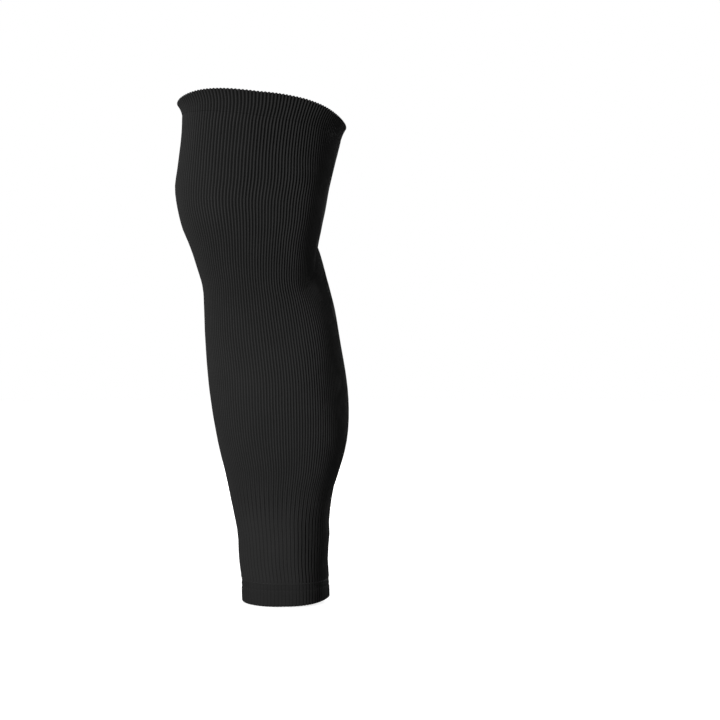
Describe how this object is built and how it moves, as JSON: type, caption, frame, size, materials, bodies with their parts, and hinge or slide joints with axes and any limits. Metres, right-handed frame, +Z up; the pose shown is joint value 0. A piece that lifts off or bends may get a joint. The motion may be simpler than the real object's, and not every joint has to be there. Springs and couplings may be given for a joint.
{
  "type": "sock sleeve",
  "caption": "Footless ribbed-knit sleeve for the leg: a hollow tube shaped by knee, calf and ankle, with a flared top cuff and a stitched ankle hem.",
  "frame": {"origin": "centre of the top cuff's opening, midway between the front and back of its rim", "axes": "+Z up the leg, -X towards the shin and kneecap, +X towards the calf, Y across the leg"},
  "size_m": [0.1602, 0.1448, 0.4636],
  "materials": {
    "rib_knit": "black rib knit, matt, stretched",
    "welt_knit": "black rib knit, turned over and flared",
    "hem_knit": "black rib knit, turned up and stitched"
  },
  "bodies": {
    "root": {"leg_tube": "rib_knit", "top_welt": "welt_knit", "ankle_hem": "hem_knit"}
  },
  "joints": []
}
